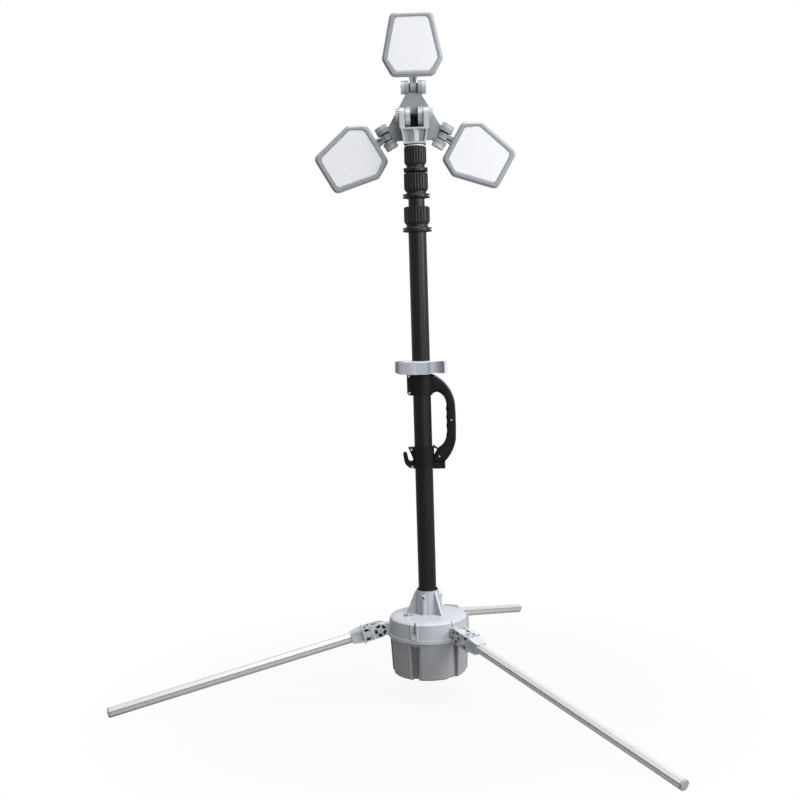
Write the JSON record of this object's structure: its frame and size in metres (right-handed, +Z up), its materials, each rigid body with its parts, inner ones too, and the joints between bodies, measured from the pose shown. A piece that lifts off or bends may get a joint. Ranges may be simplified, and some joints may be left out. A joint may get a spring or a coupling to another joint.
{
  "type": "portable lifting work light",
  "caption": "Battery work light on folding legs: round housing, telescopic mast with twist locks, carrying grip, cable hook and folding lamp heads on a tilting plate.",
  "frame": {"origin": "centre of the housing's flat underside, on the mast's axis", "axes": "+Z up along the mast, lamps face -Y, carrying grip towards +X"},
  "size_m": [1.2278, 1.3022, 1.5981],
  "materials": {
    "housing_grey": "matte",
    "lid_grey": "satin",
    "leg_alloy": "satin",
    "cradle_alloy": "satin",
    "mast_black": "satin",
    "lock_black": "matte",
    "handle_black": "matte",
    "seal_black": "matte",
    "head_grey": "satin",
    "plate_grey": "satin",
    "bezel_grey": "satin",
    "lens_white": "satin",
    "steel": "satin",
    "battery": "matte",
    "control_grey": "satin"
  },
  "bodies": {
    "base": {"bucket": "housing_grey", "battery_pack": "battery", "lid": "lid_grey", "mast_socket": "lid_grey", "mast_seal": "seal_black", "lid_controls": "control_grey", "mast_tube_outer": "mast_black", "lower_collar": "lock_black", "lower_knob": "lock_black", "leg_cradle": "cradle_alloy", "upper_clamp": "handle_black", "lower_clamp": "handle_black", "handle_grip": "handle_black"},
    "mast_second": {"mast_tube_second": "mast_black", "middle_collar": "lock_black", "middle_knob": "lock_black"},
    "mast_third": {"mast_tube_third": "mast_black", "upper_collar": "lock_black", "upper_knob": "lock_black"},
    "mast_top": {"mast_tube_top": "mast_black", "head_bracket": "head_grey", "tilt_bolt": "head_grey"},
    "head": {"head_plate": "plate_grey", "lamp_pin_top": "head_grey", "lamp_pin_left": "head_grey", "lamp_pin_right": "head_grey"},
    "lamp_top": {"lamp_bezel_top": "bezel_grey", "lamp_housing_top": "bezel_grey", "lamp_lens_top": "lens_white", "lamp_knuckle_top": "plate_grey"},
    "lamp_left": {"lamp_bezel_left": "bezel_grey", "lamp_housing_left": "bezel_grey", "lamp_lens_left": "lens_white", "lamp_knuckle_left": "plate_grey"},
    "lamp_right": {"lamp_bezel_right": "bezel_grey", "lamp_housing_right": "bezel_grey", "lamp_lens_right": "lens_white", "lamp_knuckle_right": "plate_grey"},
    "leg_left": {"leg_socket_left": "lid_grey", "leg_tube_left": "leg_alloy", "leg_plug_left": "housing_grey", "leg_pins_left": "steel", "leg_bolt_left": "steel"},
    "leg_front": {"leg_socket_front": "lid_grey", "leg_tube_front": "leg_alloy", "leg_plug_front": "housing_grey", "leg_pins_front": "steel", "leg_bolt_front": "steel"},
    "leg_rear": {"leg_socket_rear": "lid_grey", "leg_tube_rear": "leg_alloy", "leg_plug_rear": "housing_grey", "leg_pins_rear": "steel", "leg_bolt_rear": "steel"}
  },
  "joints": [
    {"name": "mast_lower_slide", "type": "slide", "parent": "base", "child": "mast_second", "axis": [0, 0, 1], "range_m": [0, 0.65]},
    {"name": "mast_middle_slide", "type": "slide", "parent": "mast_second", "child": "mast_third", "axis": [0, 0, 1], "range_m": [0, 0.65]},
    {"name": "mast_upper_slide", "type": "slide", "parent": "mast_third", "child": "mast_top", "axis": [0, 0, 1], "range_m": [0, 0.65]},
    {"name": "head_tilt", "type": "hinge", "parent": "mast_top", "child": "head", "pos_m": [0, 0, 1.305], "axis": [1, 0, 0], "range_deg": [0, 90]},
    {"name": "lamp_top_fold", "type": "hinge", "parent": "head", "child": "lamp_top", "pos_m": [0, 0.0245, 1.3705], "axis": [1, 0, 0], "range_deg": [-90, 90]},
    {"name": "lamp_left_fold", "type": "hinge", "parent": "head", "child": "lamp_left", "pos_m": [-0.06538, 0.0245, 1.25725], "axis": [-0.5, 0, 0.866], "range_deg": [-90, 90]},
    {"name": "lamp_right_fold", "type": "hinge", "parent": "head", "child": "lamp_right", "pos_m": [0.06538, 0.0245, 1.25725], "axis": [-0.5, 0, -0.866], "range_deg": [-90, 90]},
    {"name": "leg_left_fold", "type": "hinge", "parent": "base", "child": "leg_left", "pos_m": [-0.11565, -0.0177, 0.108], "axis": [-0.1513, 0.9885, 0], "range_deg": [0, 108]},
    {"name": "leg_front_fold", "type": "hinge", "parent": "base", "child": "leg_front", "pos_m": [0.07315, -0.09131, 0.108], "axis": [-0.7804, -0.6252, 0], "range_deg": [0, 108]},
    {"name": "leg_rear_fold", "type": "hinge", "parent": "base", "child": "leg_rear", "pos_m": [0.0425, 0.10901, 0.108], "axis": [0.9317, -0.3633, 0], "range_deg": [0, 108]}
  ]
}
